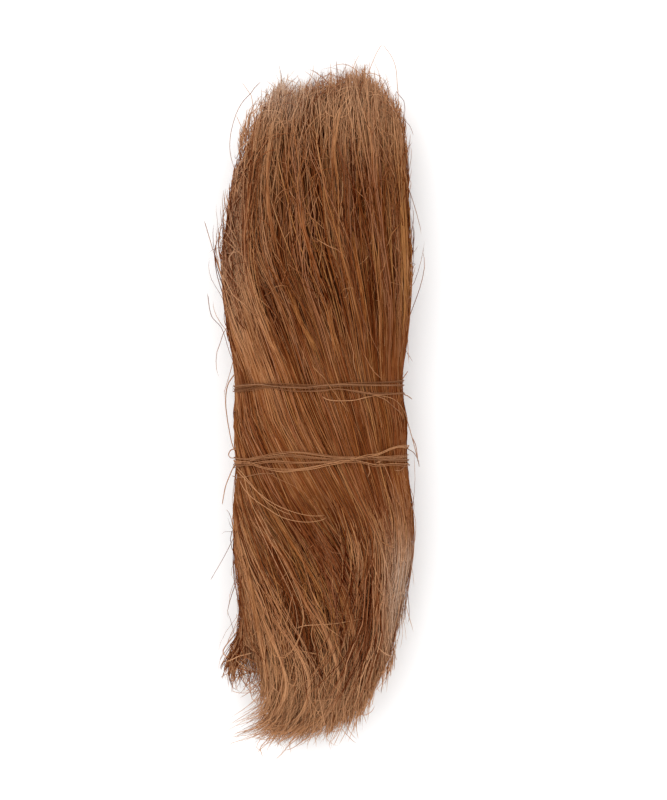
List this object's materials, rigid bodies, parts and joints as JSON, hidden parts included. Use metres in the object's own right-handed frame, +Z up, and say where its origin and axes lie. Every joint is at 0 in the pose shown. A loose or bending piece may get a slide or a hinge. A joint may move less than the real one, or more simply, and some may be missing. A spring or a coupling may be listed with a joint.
{
  "type": "coconut husk fibre hank",
  "caption": "Long hank of combed coconut-husk fibre lying on its side, gently twisted, with ragged ends, tied round its middle with bands of the same fibre.",
  "frame": {"origin": "under the middle of the hank's bounding box, on the surface it lies on", "axes": "+Y along the hank towards its squarer end, +X to the right seen from above, +Z up"},
  "size_m": [0.0802, 0.27, 0.0477],
  "materials": {
    "coir": "combed coconut fibre, reddish brown, satin",
    "tie_fibre": "single coconut fibres, lighter brown, satin"
  },
  "bodies": {
    "root": {"fibre_bunch": "coir", "upper_tie": "tie_fibre", "lower_tie": "tie_fibre"}
  },
  "joints": []
}
